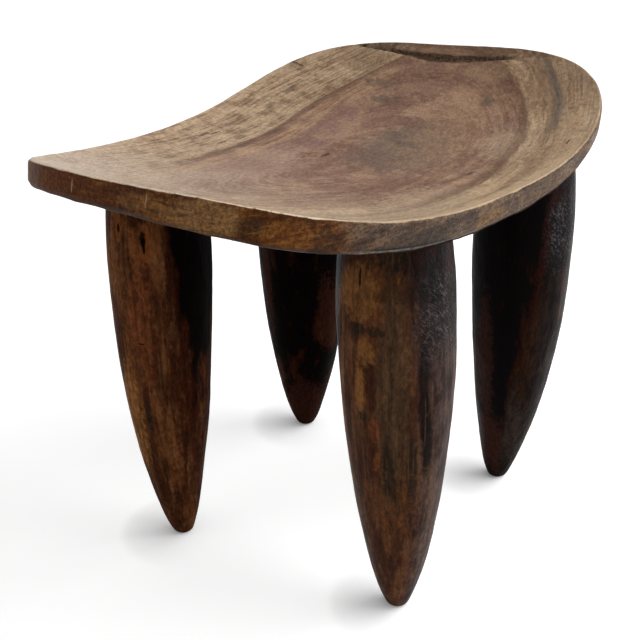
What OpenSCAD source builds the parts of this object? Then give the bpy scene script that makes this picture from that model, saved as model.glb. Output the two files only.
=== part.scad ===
// Carved wooden stool: a dished saddle seat with raised ends, on four tusk-shaped legs.
// All sizes are in millimetres. +Z is up, +Y runs along the seat from the near end to
// the far end, and +X points to the right. The origin is on the floor, below the middle
// of the seat.

/* [Seat plan] */
// Length of the seat's upper face from end to end
seat_length = 590; // [520:5:660]
// Width of the seat's upper face from side to side
seat_width = 408; // [370:2:460]
// Squareness of the seat's corners, where 2 gives an oval
corner_squareness = 3.8; // [2.8:0.1:6]
// How far each side swings out at the far end, and in at the near end
side_flare = 31; // [0:1:45]
// How much each end runs longer along the right side, and shorter along the left
right_side_reach = 17; // [0:1:30]

/* [Seat height] */
// Height of the seat's upper edge at the middle of its long sides
side_height = 392; // [340:1:450]
// Rise of the near end above the middle
near_end_rise = 61; // [30:1:90]
// Rise of the far end above the middle
far_end_rise = 63; // [30:1:90]
// How far the lowest place of the seat lies towards the far end
dip_shift = 56; // [0:1:80]
// Part of the rise that comes late, near the ends
end_curl = 0.2; // [0:0.05:0.6]
// How much lower the right edge is than the middle line, and the left edge higher
right_side_drop = 8; // [0:1:15]
// Extra rise of the four corners
corner_lift = 2; // [0:1:15]

/* [Seat body] */
// Thickness of the seat at its rim
rim_thickness = 20; // [15:0.5:28]
// Extra thickness of the rim towards the near right corner, and less towards the far left
rim_unevenness = 3; // [0:0.5:5]
// How far the rim's lower edge is drawn in under its upper edge
rim_undercut = 1.5; // [0:0.5:5]
// Rounding of the rim's upper edge
upper_edge_radius = 3.5; // [1:0.5:6]
// Rounding of the rim's lower edge
lower_edge_radius = 4.5; // [1:0.5:7]
// Depth of the dish below the rim
dish_depth = 12; // [4:1:20]
// Flatness of the dish's floor, where a higher value makes steeper walls
dish_flatness = 6; // [3:0.5:10]
// How far the underside bellies down below the rim
belly_depth = 26; // [18:1:40]

/* [Legs] */
// Outward bow of each leg at half its height
leg_bow = 3.5; // [0:0.5:10]
// Width of a foot just above its rounded end
foot_width = 17; // [12:1:34]
// Rounding around the end of a foot
foot_rounding = 3.5; // [1:0.5:5]
// How soon a leg widens above its foot, where a higher value fattens the lower leg
leg_fullness = 1.87; // [1.5:0.01:3]
// Sharpness of the taper down to the foot, where a lower value makes a blunter tusk
leg_sharpness = 0.76; // [0.6:0.01:1]
// Height of a leg's widest place below its head
leg_shoulder = 66; // [20:2:120]
// How much thinner the head is all round than the widest place
leg_neck = 3.5; // [0:0.5:6]
// Squareness of a leg's cross-section, where 2 is round
leg_squareness = 2.1; // [2:0.05:2.8]
// Gap between a leg's head and the seat's underside
seat_clearance = 0.2; // [0.1:0.05:0.5]

/* [Front left leg] */
// Width at its widest place
front_left_width = 98; // [80:1:115]
// How far the seat's side overhangs it
front_left_side_overhang = 10; // [2:1:50]
// How far the seat's near end overhangs it
front_left_end_overhang = 146; // [90:1:170]
// Place of its foot from its head, to the right and to the far end
front_left_foot_place = [10, -19]; // [-30:1:30]

/* [Front right leg] */
// Width at its widest place
front_right_width = 101; // [80:1:115]
// How far the seat's side overhangs it
front_right_side_overhang = 3; // [2:1:50]
// How far the seat's near end overhangs it
front_right_end_overhang = 143; // [90:1:170]
// Place of its foot from its head, to the right and to the far end
front_right_foot_place = [10, -10]; // [-30:1:30]

/* [Back left leg] */
// Width at its widest place
back_left_width = 112; // [80:1:115]
// How far the seat's side overhangs it
back_left_side_overhang = 37; // [2:1:50]
// How far the seat's far end overhangs it
back_left_end_overhang = 95; // [80:1:150]
// Place of its foot from its head, to the right and to the far end
back_left_foot_place = [-9, -6]; // [-30:1:30]

/* [Back right leg] */
// Width at its widest place
back_right_width = 100; // [80:1:115]
// How far the seat's side overhangs it
back_right_side_overhang = 2; // [1:1:50]
// How far the seat's far end overhangs it
back_right_end_overhang = 110; // [80:1:150]
// Place of its foot from its head, to the right and to the far end
back_right_foot_place = [-17, 8]; // [-30:1:30]

/* [Hidden] */

seat_colour = [0.47, 0.36, 0.28];
leg_colour = [0.24, 0.15, 0.11];

half_length = seat_length / 2;
half_width = seat_width / 2;

// Number of directions around the seat, and how much closer they lie at the corners
SEAT_SIDES = 108;
CORNER_CROWDING = 7;
// Rings across the dish and across the underside, as parts of the way out to the rim
DISH_RINGS = [0.975, 0.945, 0.9, 0.84, 0.76, 0.66, 0.54, 0.4, 0.25, 0.1];
UNDERSIDE_RINGS = [0.97, 0.92, 0.85, 0.76, 0.65, 0.52, 0.37, 0.2];
// Steps of the rounding on each edge of the rim
EDGE_STEPS = 4;
// How full the belly is across its middle, and how softly it runs out into the rim
BELLY_FULLNESS = 3;
BELLY_SOFTNESS = 1.5;

// Halvings that find where the outline is
HALVINGS = 30;

// Sides and rings of a leg, and how much closer the rings lie near the foot
LEG_SIDES = 32;
LEG_RINGS = 22;
RING_CROWDING = 1.25;
// Height of the first ring above the floor, as a part of the foot's rounding
FOOT_STEP = 0.25;
// Rings across a head, as parts of the way out to its edge
HEAD_RINGS = [0.8, 0.6, 0.4, 0.2];
// How late up a leg its rings tilt to the slope of the underside
TILT_LATENESS = 5;

// Vectors
function unit(v) = v / norm(v);
function flat(v) = [v.x, v.y];

// Plan of the seat. free_reach is 1 on a superellipse of the nominal half sizes that is
// flared and stretched to the right; fitting it to its box gives the plan.
function free_reach(p) =
    let (across = p.x / (half_width + side_flare * p.y / half_length))
    let (along = p.y / (half_length + right_side_reach * p.x / half_width))
    pow(pow(abs(across), corner_squareness) + pow(abs(along), corner_squareness), 1 / corner_squareness);

function free_radius(angle, low, high, steps) =
    let (middle = (low + high) / 2)
    steps == 0 ? middle
    : free_reach(middle * [cos(angle), sin(angle)]) > 1 ? free_radius(angle, low, middle, steps - 1)
    : free_radius(angle, middle, high, steps - 1);

function direction(i) =
    let (turn = 360 * i / SEAT_SIDES + CORNER_CROWDING * sin(4 * 360 * i / SEAT_SIDES))
    atan2(half_length * sin(turn), half_width * cos(turn));

free_outline = [for (i = [0 : SEAT_SIDES - 1])
    free_radius(direction(i), 0, seat_length, HALVINGS) * [cos(direction(i)), sin(direction(i))]];
free_low = [min([for (p = free_outline) p.x]), min([for (p = free_outline) p.y])];
free_high = [max([for (p = free_outline) p.x]), max([for (p = free_outline) p.y])];
free_middle = (free_low + free_high) / 2;
fit = [seat_width / (free_high.x - free_low.x), seat_length / (free_high.y - free_low.y)];

outline = [for (p = free_outline) [(p.x - free_middle.x) * fit.x, (p.y - free_middle.y) * fit.y]];

// 0 inside the seat's middle, 1 on its outline
function reach(p) = free_reach([p.x / fit.x + free_middle.x, p.y / fit.y + free_middle.y]);

// Place across the seat, on one side, where the outline crosses a line at this height along it
function seat_edge(side, along, low, high, steps) =
    let (middle = (low + high) / 2)
    steps == 0 ? side * middle
    : reach([side * middle, along]) > 1 ? seat_edge(side, along, low, middle, steps - 1)
    : seat_edge(side, along, middle, high, steps - 1);

// The saddle surface that the rim's upper edge lies on
function saddle_height(p) =
    let (beyond_dip = p.y - dip_shift)
    let (far = beyond_dip > 0)
    let (s = abs(beyond_dip) / (far ? half_length - dip_shift : half_length + dip_shift))
    let (rise = far ? far_end_rise : near_end_rise)
    let (across = p.x / half_width)
    side_height + rise * ((1 - end_curl) * pow(s, 2) + end_curl * pow(s, 4))
    - right_side_drop * across + corner_lift * pow(across * s, 2);

function saddle_point(p) = [p.x, p.y, saddle_height(p)];

function saddle_normal(p) =
    unit(cross(saddle_point(p + [1, 0]) - saddle_point(p - [1, 0]),
               saddle_point(p + [0, 1]) - saddle_point(p - [0, 1])));

// Thickness at the rim, square to the saddle surface
function edge_thickness(p) =
    rim_thickness + rim_unevenness * (p.x / half_width - p.y / half_length) / sqrt(2);

function dish_drop(p) = dish_depth * (1 - pow(min(1, reach(p)), dish_flatness));
function belly_drop(p) =
    belly_depth * pow(1 - pow(min(1, reach(p)), BELLY_FULLNESS), BELLY_SOFTNESS);

function dish_point(p) = [p.x, p.y, saddle_height(p) - dish_drop(p)];
function underside_height(p) =
    saddle_height(p) - edge_thickness(p) / saddle_normal(p).z - belly_drop(p);
function underside_point(p) = [p.x, p.y, underside_height(p)];

// A point of the rim at outline point i: inset from the edge, and depth below the saddle
function rim_outward(i) =
    let (before = saddle_point(outline[(i + SEAT_SIDES - 1) % SEAT_SIDES]))
    let (after = saddle_point(outline[(i + 1) % SEAT_SIDES]))
    unit(cross(after - before, saddle_normal(outline[i])));
function rim_point(i, inset, depth) =
    saddle_point(outline[i]) - inset * rim_outward(i) - depth * saddle_normal(outline[i]);

function upper_edge_ring(turn) = [for (i = [0 : SEAT_SIDES - 1])
    let (inset = upper_edge_radius * (1 - sin(turn)))
    let (dish_start = (1 - sin(turn)) * dish_drop(flat(rim_point(i, inset, 0))))
    rim_point(i, inset, dish_start + upper_edge_radius * (1 - cos(turn)))];
function lower_edge_ring(turn) = [for (i = [0 : SEAT_SIDES - 1])
    rim_point(i, rim_undercut + lower_edge_radius * (1 - cos(turn)),
              edge_thickness(outline[i]) - lower_edge_radius * (1 - sin(turn)))];

// Rings of equal count joined into a closed skin, with a middle point at each end.
// The rings run counterclockwise seen from the first end, which faces up.
function ring_skin(first, rings, last) =
    let (n = len(rings[0]), k = len(rings))
    let (points = concat([first], [for (ring = rings) each ring], [last]))
    let (faces = concat(
        [for (i = [0 : n - 1]) [0, 1 + (i + 1) % n, 1 + i]],
        [for (j = [0 : k - 2], i = [0 : n - 1])
            let (a = 1 + j * n + i, b = 1 + j * n + (i + 1) % n)
            each [[a, b, b + n], [a, b + n, a + n]]],
        [for (i = [0 : n - 1])
            let (base = 1 + (k - 1) * n)
            [k * n + 1, base + i, base + (i + 1) % n]]))
    [points, faces];

module skin(first, rings, last) {
    mesh = ring_skin(first, rings, last);
    polyhedron(points = mesh[0], faces = mesh[1], convexity = 6);
}

module seat() {
    dish = [for (s = DISH_RINGS) [for (p = outline) dish_point(s * p)]];
    underside = [for (s = UNDERSIDE_RINGS) [for (p = outline) underside_point(s * p)]];
    upper_edge = [for (j = [0 : EDGE_STEPS]) upper_edge_ring(90 * j / EDGE_STEPS)];
    lower_edge = [for (j = [0 : EDGE_STEPS]) lower_edge_ring(90 * j / EDGE_STEPS)];
    inner_to_outer = [for (j = [len(dish) - 1 : -1 : 0]) dish[j]];
    color(seat_colour)
        skin(dish_point([0, 0]), concat(inner_to_outer, upper_edge, lower_edge, underside),
             underside_point([0, 0]));
}

// Half width of a leg at part s of its height
function leg_radius(s, height, width) =
    let (foot = foot_width / 2, widest = 1 - leg_shoulder / height)
    let (up = min(1, s / widest))
    let (above = max(0, (s - widest) / (1 - widest)))
    let (low = max(0, 1 - s * height / foot_rounding))
    foot + (width / 2 - foot) * pow(1 - pow(1 - up, leg_fullness), leg_sharpness)
    - leg_neck * pow(above, 2) - foot_rounding * (1 - sqrt(1 - pow(low, 2)));

// A slightly squared circle of radius 1
function leg_section(angle) =
    let (c = cos(angle), s = sin(angle), n = leg_squareness)
    [c, s] / pow(pow(abs(c), n) + pow(abs(s), n), 1 / n);

// A tusk from a foot on the floor to a head that is cut to the seat's underside
module tusk_leg(head, foot, width) {
    outward = unit([head.x < 0 ? -1 : 1, head.y < 0 ? -1 : 1]);
    height = underside_height(head) - seat_clearance;
    angles = [for (i = [0 : LEG_SIDES - 1]) 360 * i / LEG_SIDES];
    head_outline = [for (angle = angles) head + leg_radius(1, height, width) * leg_section(angle)];
    function axis_point(s) = foot + (head - foot) * s + outward * leg_bow * sqrt(2) * 4 * s * (1 - s);
    function cut_height(p) = underside_height(p) - seat_clearance;
    function shaft_ring(s) = [for (i = [0 : LEG_SIDES - 1])
        let (p = axis_point(s) + leg_radius(s, height, width) * leg_section(angles[i]))
        let (tilt = pow(s, TILT_LATENESS) * (cut_height(head_outline[i]) - height))
        [p.x, p.y, s * height + tilt]];
    function head_ring(part) = [for (p = head_outline)
        let (q = head + part * (p - head))
        [q.x, q.y, cut_height(q)]];
    heights = concat([0, FOOT_STEP * foot_rounding / height, foot_rounding / height],
                     [for (j = [1 : LEG_RINGS]) pow(j / LEG_RINGS, RING_CROWDING)]);
    top_down = [for (j = [len(heights) - 1 : -1 : 0]) shaft_ring(heights[j])];
    inner_heads = [for (j = [len(HEAD_RINGS) - 1 : -1 : 0]) head_ring(HEAD_RINGS[j])];
    skin([head.x, head.y, height], concat(inner_heads, top_down), [foot.x, foot.y, 0]);
}

// A leg under its corner of the seat, with side and end -1 or 1
module seated_leg(side, end, width, side_overhang, end_overhang, foot_place) {
    along = end * (half_length - end_overhang - width / 2);
    edge = seat_edge(side, along, 0, seat_width, HALVINGS);
    across = edge - side * (side_overhang + width / 2);
    head = [across, along];
    color(leg_colour)
        tusk_leg(head, head + foot_place, width);
}

module leg_front_left() {
    seated_leg(-1, -1, front_left_width, front_left_side_overhang, front_left_end_overhang,
               front_left_foot_place);
}

module leg_front_right() {
    seated_leg(1, -1, front_right_width, front_right_side_overhang, front_right_end_overhang,
               front_right_foot_place);
}

module leg_back_left() {
    seated_leg(-1, 1, back_left_width, back_left_side_overhang, back_left_end_overhang,
               back_left_foot_place);
}

module leg_back_right() {
    seated_leg(1, 1, back_right_width, back_right_side_overhang, back_right_end_overhang,
               back_right_foot_place);
}

seat();
leg_front_left();
leg_front_right();
leg_back_left();
leg_back_right();
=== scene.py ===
"""A carved wooden stool: a dished saddle seat on four tusk-shaped legs, in worn and dark-stained wood.

Lengths are in metres, +Z is up, +Y runs along the seat from the near end to the far end.
"""
import math
from types import SimpleNamespace

import bpy
import numpy as np
from mathutils import Euler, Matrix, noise


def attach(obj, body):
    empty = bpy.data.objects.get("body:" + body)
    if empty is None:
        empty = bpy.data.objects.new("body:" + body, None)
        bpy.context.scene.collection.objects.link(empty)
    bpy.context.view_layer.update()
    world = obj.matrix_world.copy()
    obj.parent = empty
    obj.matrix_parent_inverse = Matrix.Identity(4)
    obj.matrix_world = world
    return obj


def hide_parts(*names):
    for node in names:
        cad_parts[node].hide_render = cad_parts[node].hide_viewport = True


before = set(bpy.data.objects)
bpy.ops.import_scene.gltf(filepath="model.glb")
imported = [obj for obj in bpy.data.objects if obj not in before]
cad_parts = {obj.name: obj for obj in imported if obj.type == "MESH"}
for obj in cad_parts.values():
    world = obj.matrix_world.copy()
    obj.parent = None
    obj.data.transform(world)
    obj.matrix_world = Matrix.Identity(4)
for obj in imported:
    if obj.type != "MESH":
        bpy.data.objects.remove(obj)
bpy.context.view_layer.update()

# Seat plan
SEAT_LENGTH = 0.590
SEAT_WIDTH = 0.408
CORNER_SQUARENESS = 3.8
SIDE_FLARE = 0.031
RIGHT_SIDE_REACH = 0.017

# Seat height
SIDE_HEIGHT = 0.392
NEAR_END_RISE = 0.061
FAR_END_RISE = 0.063
DIP_SHIFT = 0.056
END_CURL = 0.2
RIGHT_SIDE_DROP = 0.008
CORNER_LIFT = 0.002

# Seat body
RIM_THICKNESS = 0.020
RIM_UNEVENNESS = 0.003
RIM_UNDERCUT = 0.0015
UPPER_EDGE_RADIUS = 0.0035
LOWER_EDGE_RADIUS = 0.0045
DISH_DEPTH = 0.012
DISH_FLATNESS = 6
BELLY_DEPTH = 0.026

# How much higher the worn upper edge stands on the near and right sides than in the part's source
EDGE_LIFT = 0.0030

# The most that wear rounds the upper edge
WORN_EDGE_RADIUS = 0.0046

# Legs
LEG_BOW = 0.0035
FOOT_WIDTH = 0.017
FOOT_ROUNDING = 0.0035
LEG_FULLNESS = 1.87
LEG_SHARPNESS = 0.76
LEG_SHOULDER = 0.066
LEG_NECK = 0.0035
LEG_SQUARENESS = 2.1
TILT_LATENESS = 5

# How far each leg's skin reaches into the seat, because both are one block of wood, and the shares
# of its width at which rings close it there
HEAD_OVERLAP = 0.0012
HEAD_STEPS = (0.7, 0.4, 0.1)

# Each leg: the side and end it stands at, its width, how far the seat's side and end overhang it,
# and the place of its foot from its head
LEGS = {
    "leg_front_left": (-1, -1, 0.098, 0.010, 0.146, (0.010, -0.019)),
    "leg_front_right": (1, -1, 0.101, 0.003, 0.143, (0.010, -0.010)),
    "leg_back_left": (-1, 1, 0.112, 0.037, 0.095, (-0.009, -0.006)),
    "leg_back_right": (1, 1, 0.100, 0.002, 0.110, (-0.017, 0.008)),
}

# Stains of each leg: bearing and half-width in degrees of the black smoke stain and how much of it
# reaches the foot, then how weathered and grey its right face is, its gloss, and how light its wood is
LEG_STAINS = {
    "leg_front_left": (50, 86, 0.50, 0.0, 0.005, 1.46),
    "leg_front_right": (140, 92, 0.90, 0.90, 0.03, 1.20),
    "leg_back_left": (-60, 120, 0.80, 0.0, 0.005, 1.0),
    "leg_back_right": (-122, 76, 0.85, 1.0, 0.02, 0.28),
}

# Marks on the legs: the kind, the middle and the half size along x, y and z
LEG_MARKS = {
    "leg_front_left": [
        ("gold", (-0.136, -0.150, 0.150), (0.018, 0.022, 0.080)),
        ("rust", (-0.113, -0.154, 0.255), (0.016, 0.020, 0.080)),
        ("red", (-0.083, -0.138, 0.250), (0.013, 0.022, 0.100)),
        ("red", (-0.085, -0.130, 0.130), (0.012, 0.020, 0.090)),
        ("red", (-0.133, -0.150, 0.338), (0.006, 0.012, 0.018)),
        ("knot", (-0.106, -0.150, 0.337), (0.019, 0.016, 0.026)),
        ("check", (-0.1068, -0.148, 0.3425), (0.0034, 0.008, 0.007)),
        ("check", (-0.106, -0.148, 0.3375), (0.0024, 0.008, 0.007)),
        ("check", (-0.1052, -0.148, 0.3325), (0.0014, 0.008, 0.007)),
        ("knot", (-0.133, -0.150, 0.346), (0.006, 0.012, 0.015)),
        ("check", (-0.133, -0.150, 0.348), (0.0022, 0.006, 0.006)),
        ("check", (-0.1143, -0.1563, 0.236), (0.005, 0.006, 0.0006)),
        ("dark", (-0.1147, -0.1541, 0.1515), (0.004, 0.010, 0.030)),
    ],
    "leg_front_right": [
        ("olive", (0.152, -0.150, 0.250), (0.017, 0.020, 0.130)),
        ("gold", (0.120, -0.152, 0.336), (0.024, 0.018, 0.032)),
        ("gold", (0.129, -0.156, 0.285), (0.011, 0.012, 0.016)),
        ("gold", (0.124, -0.156, 0.250), (0.008, 0.014, 0.030)),
        ("rust", (0.1375, -0.156, 0.214), (0.007, 0.010, 0.016)),
        ("rust", (0.141, -0.155, 0.180), (0.006, 0.010, 0.016)),
        ("dark", (0.1225, -0.1549, 0.3045), (0.008, 0.009, 0.007)),
        ("dark", (0.1385, -0.155, 0.305), (0.010, 0.009, 0.006)),
        ("dark", (0.1257, -0.156, 0.224), (0.007, 0.008, 0.005)),
        ("dark", (0.148, -0.153, 0.175), (0.007, 0.012, 0.040)),
        ("check", (0.122, -0.151, 0.348), (0.0014, 0.005, 0.012)),
        ("black", (0.174, -0.1365, 0.250), (0.0042, 0.010, 0.075)),
        ("black", (0.1765, -0.133, 0.200), (0.004, 0.010, 0.055)),
        # painted shade: darkens the near right leg's front just under the seat
        ("dark", (0.152, -0.1435, 0.367), (0.026, 0.020, 0.016)),
        ("dark", (0.167, -0.1435, 0.175), (0.006, 0.012, 0.045)),
        ("gold", (0.0985, -0.143, 0.275), (0.008, 0.020, 0.080)),
        ("black", (0.171, -0.127, 0.367), (0.030, 0.030, 0.024)),
        ("black", (0.174, -0.124, 0.344), (0.014, 0.020, 0.020)),
    ],
    "leg_back_left": [
        ("ember", (-0.141, 0.099, 0.220), (0.009, 0.030, 0.110)),
        ("ember", (-0.074, 0.121, 0.150), (0.011, 0.040, 0.080)),
        ("ember", (-0.1076, 0.118, 0.035), (0.026, 0.040, 0.050)),
    ],
    "leg_back_right": [
        ("black", (0.175, 0.092, 0.290), (0.006, 0.010, 0.080)),
        ("ember", (0.130, 0.100, 0.160), (0.013, 0.030, 0.100)),
        ("ember", (0.132, 0.120, 0.060), (0.020, 0.040, 0.050)),
        ("pale", (0.150, 0.109, 0.080), (0.024, 0.030, 0.090)),
    ],
}

# How strong each kind of leg mark is and its colour, which kinds lie over the smoke, and how deep a
# check goes
MARK_LOOKS = {
    "check": (0.90, (9, 6, 4)),
    "black": (0.85, (7, 5, 5)),
    "dark": (0.85, (34, 25, 18)),
    "gold": (0.85, (116, 76, 40)),
    "rust": (0.85, (92, 50, 28)),
    "red": (0.85, (46, 19, 9)),
    "knot": (0.85, (98, 55, 28)),
    "pale": (0.85, (92, 78, 70)),
    "olive": (0.85, (62, 46, 32)),
    "ember": (0.80, (50, 25, 18)),
}
OVER_SMOKE = {"ember", "check"}
CHECK_DEPTH = 0.0015

HALF_LENGTH = SEAT_LENGTH / 2
HALF_WIDTH = SEAT_WIDTH / 2

# Growth rings: the middle of their ovals, the half sizes of the oval where the brown heartwood ends,
# how much longer its near half is on the left, and the power that squares the ovals
RING_MIDDLE = (0.006, 0.062)
RING_HALF_WIDTH = 0.127
RING_FAR_HALF = 0.212
RING_NEAR_HALF = 0.230
RING_LEFT_EXTRA = 0.200
RING_SQUARENESS = 2.5

# The heartwood's left border: where it is, from where on it bends inwards, how strongly, and its ring
LEFT_BORDER = -0.119
LEFT_BEND_START = 0.12
LEFT_BEND = 8.1
LEFT_BORDER_RING = 1.06

# The bark pocket at the far end: points of its middle line, its half width at places along x, and
# its depth
POCKET_LINE = [
    (-0.120, 0.2715), (-0.060, 0.2715), (-0.020, 0.2700),
    (0.003, 0.2715), (0.048, 0.2785), (0.085, 0.2845),
]
POCKET_WIDTH = [
    (-0.120, 0.0016), (-0.060, 0.0024), (-0.034, 0.0042),
    (-0.015, 0.0052), (0.030, 0.0038), (0.052, 0.0020),
]
POCKET_DEPTH = 0.0036

# Relief that wear and blade leave on the seat's top, rim and underside and on the legs: the depth of
# broad waves, blade cuts, small waves and fine grain, and how far the uncut skin stands out
RELIEF = {
    "top": (0.0008, 0, 0.0002, 0, 0),
    "rim": (0.0003, 0, 0.0004, 0.0003, 0),
    "underside": (0.0010, 0.0009, 0, 0, 0.0012),
    "leg": (0.0012, 0.0009, 0.0004, 0, 0.0014),
}

# Marks in the dish: a dark check or a grey spot, the middle and the half size
SEAT_MARKS = [
    ("check", (-0.162, 0.026, 0.40), (0.0022, 0.017, 0.1)),
    ("check", (-0.158, 0.038, 0.40), (0.0018, 0.010, 0.1)),
    ("check", (-0.134, 0.018, 0.40), (0.0022, 0.008, 0.1)),
    ("grey", (-0.163, 0.072, 0.40), (0.006, 0.010, 0.1)),
    ("grey", (-0.131, 0.045, 0.40), (0.004, 0.010, 0.1)),
    ("grey", (-0.158, 0.142, 0.40), (0.006, 0.011, 0.1)),
    ("grey", (-0.155, 0.184, 0.40), (0.006, 0.010, 0.1)),
    ("check", (-0.173, 0.226, 0.42), (0.010, 0.0022, 0.1)),
    ("grey", (-0.062, 0.225, 0.42), (0.024, 0.008, 0.1)),
    ("grey", (-0.076, 0.227, 0.42), (0.008, 0.005, 0.1)),
    ("grey", (-0.042, 0.198, 0.40), (0.022, 0.011, 0.1)),
    ("grey", (0.032, 0.112, 0.38), (0.022, 0.010, 0.1)),
    ("grey", (0.071, 0.222, 0.40), (0.007, 0.013, 0.1)),
    ("check", (-0.026, 0.045, 0.38), (0.003, 0.010, 0.1)),
    ("check", (0.121, 0.066, 0.38), (0.0024, 0.008, 0.1)),
    ("check", (0.183, 0.160, 0.40), (0.0016, 0.006, 0.1)),
]
# How strong each kind of mark in the dish is, and its colour
SEAT_MARK_LOOKS = {"grey": (0.55, (94, 80, 70)), "check": (0.80, (58, 43, 34))}

# Stains in the sapwood, in the heartwood and over both: the middle, the half size, how ragged the
# border is, the strength and the colour. The last of the sapwood ones is painted shadow under the far lip
SAP_STAINS_AND_LIP_SHADOW = [
    ((0.150, 0.270, 0.43), (0.085, 0.065, 0.2), 0.6, 0.50, (124, 98, 78)),
    ((0.120, 0.240, 0.42), (0.030, 0.050, 0.2), 0.6, 0.45, (136, 108, 84)),
    ((-0.010, 0.291, 0.44), (0.150, 0.020, 0.2), 0.5, 0.88, (94, 69, 52)),
    ((-0.095, 0.254, 0.43), (0.048, 0.022, 0.2), 0.5, 0.50, (122, 96, 74)),
    # painted shadow: a dark soft line under the left part of the far lip
    ((-0.100, 0.276, 0.445), (0.050, 0.008, 0.2), 0.5, 0.65, (62, 50, 40)),
]
HEART_STAINS = [
    ((-0.070, -0.040, 0.39), (0.060, 0.110, 0.2), 0.6, 0.50, (174, 145, 126)),
    ((0.060, 0.140, 0.39), (0.045, 0.100, 0.2), 0.6, 0.35, (152, 120, 92)),
]
RIGHT_STAINS = [
    ((0.126, 0.150, 0.38), (0.036, 0.050, 0.2), 0.6, 0.50, (168, 145, 122)),
    ((0.128, -0.045, 0.38), (0.046, 0.080, 0.2), 0.6, 0.62, (176, 152, 126)),
]
FAR_STAINS = [
    ((0.052, 0.262, 0.43), (0.032, 0.016, 0.2), 0.5, 0.50, (150, 122, 98)),
]

# Marks on the rim: the kind, the middle and the half size, and the colour of each kind
RIM_MARKS = [
    ("brown", (-0.070, -0.286, 0.444), (0.120, 0.08, 0.050)),
    ("amber", (0.030, -0.297, 0.440), (0.034, 0.02, 0.008)),
    ("gold", (0.080, -0.297, 0.436), (0.040, 0.03, 0.018)),
    ("dark", (0.112, -0.285, 0.430), (0.011, 0.02, 0.014)),
    ("orange", (0.130, -0.266, 0.421), (0.022, 0.04, 0.016)),
    ("dark", (0.147, -0.240, 0.412), (0.010, 0.03, 0.014)),
    ("ochre", (0.187, -0.040, 0.374), (0.020, 0.030, 0.012)),
    ("umber", (0.194, 0.060, 0.376), (0.020, 0.050, 0.014)),
]
RIM_COLOURS = {
    "brown": (80, 40, 12),
    "gold": (137, 101, 64),
    "amber": (118, 78, 42),
    "ochre": (110, 84, 56),
    "umber": (82, 63, 46),
    "dark": (62, 40, 22),
    "orange": (108, 66, 28),
}

# Pale scratches on the rim: their middles, their half size and their colour
RIM_SCRATCHES = [(-0.153, -0.282, 0.450), (-0.044, -0.2905, 0.441), (0.032, -0.297, 0.443)]
SCRATCH_SIZE = (0.0009, 0.006, 0.0065)
SCRATCH_COLOUR = (176, 146, 112)

# Mesh density
SEAT_SIDES = 640
CORNER_CROWDING = math.radians(7)
UPPER_EDGE_RINGS = 11
FACE_RINGS = 12
LOWER_EDGE_RINGS = 9
LEG_SIDES = 200
LEG_ANGLES = np.arange(LEG_SIDES) * 2 * math.pi / LEG_SIDES
LEG_RINGS = 220
FOOT_RINGS = 8

# The shares of the outline at which rings lie in the dish, closer near its edge, and underneath
DISH_STEPS = np.concatenate([np.linspace(0.015, 0.80, 62), np.linspace(0.804, 0.975, 40)])
UNDERSIDE_STEPS = np.linspace(0.975, 0.015, 50)

# Seeds of the noises on the legs, of which each leg has its own
LEG_SEED = 30
SEEDS_PER_LEG = 5

# Studio: the floor's half size, how far contact shadows reach, and the low direction towards the key
# light, away from which they fall
FLOOR_HALF = 12.0
CONTACT_REACH = 0.055
CONTACT_OPEN_SIDE = (0.79, 0.49, 0.37)

# The camera's place, and how it turns down, left and about its own axis in degrees
CAMERA_PLACE = (0.5107, -0.8431, 0.6773)
CAMERA_TURN = (24.758, 31.705, -1.442)


def unit(v):
    return v / np.linalg.norm(v, axis=-1, keepdims=True)


def ease(value, low, high):
    """0 below low, 1 above high, smooth between."""
    t = np.clip((value - low) / (high - low), 0, 1)
    return t * t * (3 - 2 * t)


def lumps(points, size, seed):
    """Smooth noise from -1 to 1 at each point, with lumps of this size in metres."""
    places = points.reshape(-1, 3) / size + seed * 7.31
    return np.array([noise.noise(p) for p in places.tolist()]).reshape(points.shape[:-1])


def facets(points, size, seed):
    """0 at the middle of each cell of this size, rising towards 1 at its borders."""
    places = points.reshape(-1, 3) / size + seed * 5.17
    nearest = [noise.voronoi(p)[0][0] for p in places.tolist()]
    return np.minimum(1, np.array(nearest).reshape(points.shape[:-1]) / 0.75)


# Seat surfaces: those of the part's source, with edge_lift added to the top


def free_reach(x, y):
    across = x / (HALF_WIDTH + SIDE_FLARE * y / HALF_LENGTH)
    along = y / (HALF_LENGTH + RIGHT_SIDE_REACH * x / HALF_WIDTH)
    n = CORNER_SQUARENESS
    return (np.abs(across) ** n + np.abs(along) ** n) ** (1 / n)


def free_outline(directions):
    low, high = np.zeros_like(directions), np.full_like(directions, SEAT_LENGTH)
    for _ in range(40):
        middle = (low + high) / 2
        outside = free_reach(middle * np.cos(directions), middle * np.sin(directions)) > 1
        low, high = np.where(outside, low, middle), np.where(outside, middle, high)
    return np.stack([middle * np.cos(directions), middle * np.sin(directions)], -1)


def seat_directions(count):
    turn = np.arange(count) * 2 * math.pi / count
    turn = turn + CORNER_CROWDING * np.sin(4 * turn)
    return np.arctan2(HALF_LENGTH * np.sin(turn), HALF_WIDTH * np.cos(turn))


rough_outline = free_outline(seat_directions(4 * SEAT_SIDES))
plan_middle = (rough_outline.max(0) + rough_outline.min(0)) / 2
plan_fit = np.array([SEAT_WIDTH, SEAT_LENGTH]) / np.ptp(rough_outline, 0)


def reach(x, y):
    """0 at the seat's middle, 1 on its outline."""
    return free_reach(x / plan_fit[0] + plan_middle[0], y / plan_fit[1] + plan_middle[1])


def seat_edge(side, along):
    low, high = 0.0, SEAT_WIDTH
    for _ in range(40):
        middle = (low + high) / 2
        low, high = (low, middle) if reach(side * middle, along) > 1 else (middle, high)
    return side * middle


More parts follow.
